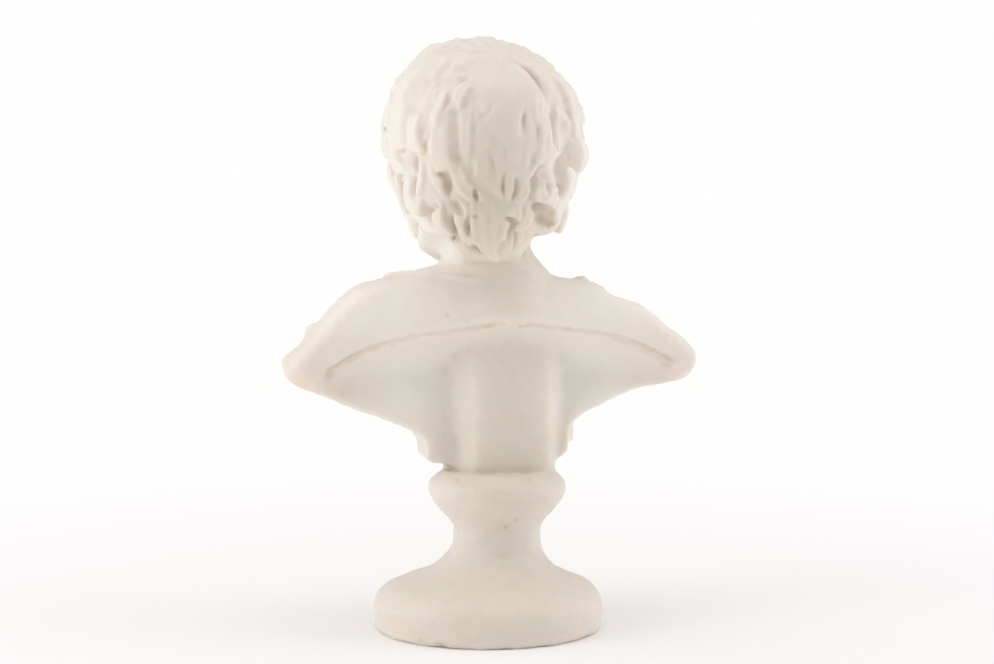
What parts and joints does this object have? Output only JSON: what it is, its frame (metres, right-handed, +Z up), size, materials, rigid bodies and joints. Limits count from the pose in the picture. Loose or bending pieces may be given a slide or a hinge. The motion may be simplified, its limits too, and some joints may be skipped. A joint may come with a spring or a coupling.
{
  "type": "marble bust",
  "caption": "Small classical marble bust of a curly-haired youth in a draped cloak, hollowed behind with a support post, on a round turned socle.",
  "frame": {"origin": "middle of the socle's flat underside", "axes": "+Z up from the underside to the crown of the head; the bust faces -Y and its own left side is +X"},
  "size_m": [0.1163, 0.0648, 0.1657],
  "materials": {
    "marble": "ivory white marble, carved and worn smooth, matt with a slight wax sheen, faint grey and ochre dirt in the hollows"
  },
  "bodies": {
    "root": {"bust": "marble"}
  },
  "joints": []
}
